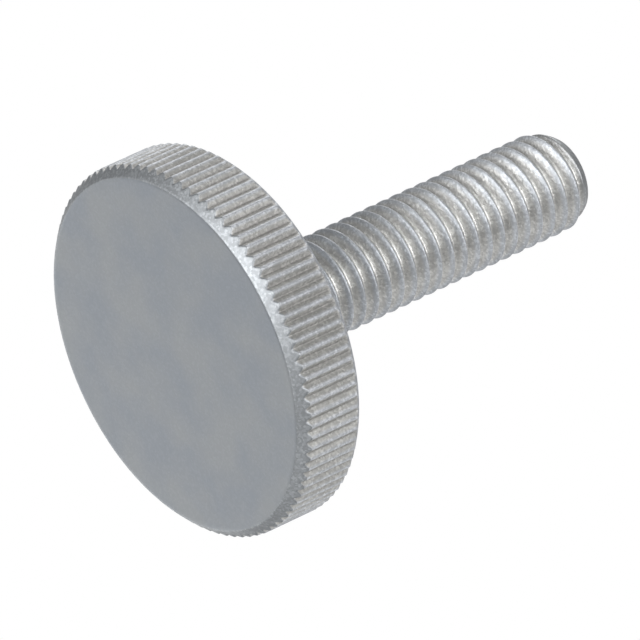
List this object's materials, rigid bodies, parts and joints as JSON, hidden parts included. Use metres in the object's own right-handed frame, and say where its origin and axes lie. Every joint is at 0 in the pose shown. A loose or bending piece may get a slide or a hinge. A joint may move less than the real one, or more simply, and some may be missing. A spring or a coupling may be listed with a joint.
{
  "type": "knurled thumb screw",
  "caption": "Low round-headed knurled thumb screw, turned from one bar, with a full-length right-hand metric thread and a chamfered tip; turned by hand to clamp or adjust.",
  "frame": {"origin": "centre of the head's flat outer face, which the screw stands on", "axes": "+Z along the thread's axis, from the head's outer face to the tip"},
  "size_m": [0.0296, 0.0296, 0.0382],
  "materials": {
    "stainless_steel": "bead-blasted matt stainless steel, with a fine sparkling grain and slightly brighter worn crests on the knurl and the thread"
  },
  "bodies": {
    "root": {"thumb_screw": "stainless_steel"}
  },
  "joints": []
}
